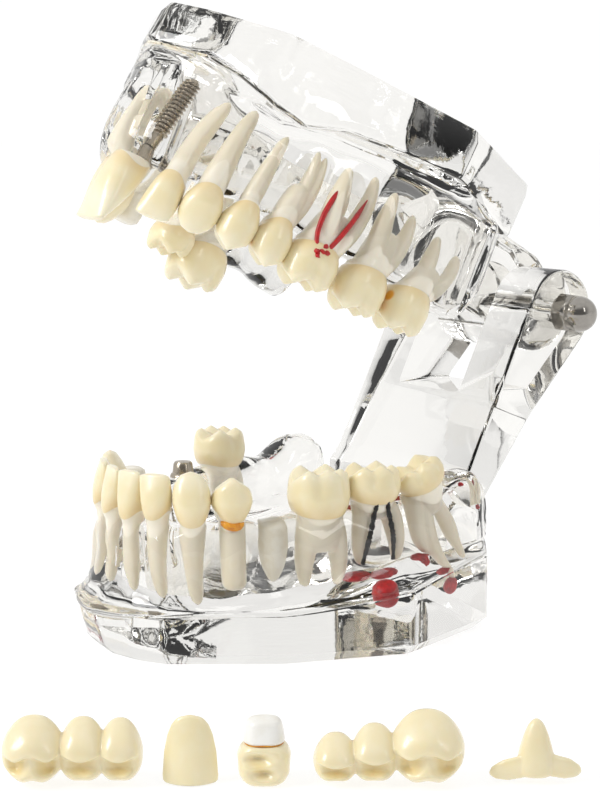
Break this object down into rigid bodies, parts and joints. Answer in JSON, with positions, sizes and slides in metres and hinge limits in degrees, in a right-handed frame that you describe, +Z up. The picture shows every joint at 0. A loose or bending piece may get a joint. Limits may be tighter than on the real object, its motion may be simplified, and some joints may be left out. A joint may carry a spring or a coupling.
{
  "type": "dental typodont model",
  "caption": "Clear resin jaw model on a bolt hinge, with ivory teeth, implants, red root lesions and loose crowns and bridges in front.",
  "frame": {"origin": "middle of the lower base's flat bottom face", "axes": "+Z up, patient's front teeth at -Y, hinge at +Y, patient's left at +X"},
  "size_m": [0.1325, 0.1494, 0.1149],
  "materials": {
    "clear_resin": "polished clear acrylic",
    "ivory_resin": "satin tooth resin",
    "pale_resin": "matt stump resin",
    "implant_metal": "machined, dull",
    "nickel": "bright nickel",
    "lesion_red": "painted red"
  },
  "bodies": {
    "lower_jaw": {"abutment_LR6": "implant_metal", "cyst_ball": "lesion_red", "hinge_bolt": "nickel", "hinge_plate": "clear_resin", "implant_LR6": "implant_metal", "lesion_LL7_distal": "lesion_red", "lesion_LL7_mesial": "lesion_red", "lesion_LL8": "lesion_red", "lower_base": "clear_resin", "nut_left": "nickel", "nut_right": "nickel", "root_LL5": "pale_resin", "stump_LR4": "pale_resin", "tooth_LL1": "ivory_resin", "tooth_LL2": "ivory_resin", "tooth_LL3": "ivory_resin", "tooth_LL4": "ivory_resin", "tooth_LL6": "ivory_resin", "tooth_LL7": "ivory_resin", "tooth_LL8": "ivory_resin", "tooth_LR1": "ivory_resin", "tooth_LR2": "ivory_resin", "tooth_LR3": "ivory_resin", "tooth_LR7": "ivory_resin"},
    "upper_jaw": {"abutment_UL1": "implant_metal", "crown_UL1": "ivory_resin", "hinge_tongue": "clear_resin", "implant_UL1": "implant_metal", "stump_UR4": "pale_resin", "tooth_UL2": "ivory_resin", "tooth_UL3": "ivory_resin", "tooth_UL4": "ivory_resin", "tooth_UL5": "ivory_resin", "tooth_UL6": "ivory_resin", "tooth_UL7": "ivory_resin", "tooth_UL8": "ivory_resin", "tooth_UR1": "ivory_resin", "tooth_UR3": "ivory_resin", "tooth_UR6": "ivory_resin", "tooth_UR7": "ivory_resin", "upper_base": "clear_resin"},
    "bridge_upper": {"bridge_upper": "ivory_resin"},
    "veneer": {"veneer": "ivory_resin"},
    "crown": {"crown_shell": "ivory_resin", "crown_core": "pale_resin"},
    "bridge_lower": {"bridge_lower": "ivory_resin"},
    "maryland_bridge": {"maryland_bridge": "ivory_resin"}
  },
  "joints": [
    {"name": "jaw_hinge", "type": "hinge", "parent": "lower_jaw", "child": "upper_jaw", "pos_m": [0, 0.0609, 0.0569], "axis": [-1, 0, 0], "range_deg": [-28, 20]},
    {"name": "bridge_upper_lift", "type": "slide", "parent": "lower_jaw", "child": "bridge_upper", "axis": [0, 0, 1], "range_m": [0, 0.06]},
    {"name": "veneer_lift", "type": "slide", "parent": "lower_jaw", "child": "veneer", "axis": [0, 0, 1], "range_m": [0, 0.06]},
    {"name": "crown_lift", "type": "slide", "parent": "lower_jaw", "child": "crown", "axis": [0, 0, 1], "range_m": [0, 0.06]},
    {"name": "bridge_lower_lift", "type": "slide", "parent": "lower_jaw", "child": "bridge_lower", "axis": [0, 0, 1], "range_m": [0, 0.06]},
    {"name": "maryland_bridge_lift", "type": "slide", "parent": "lower_jaw", "child": "maryland_bridge", "axis": [0, 0, 1], "range_m": [0, 0.06]}
  ]
}
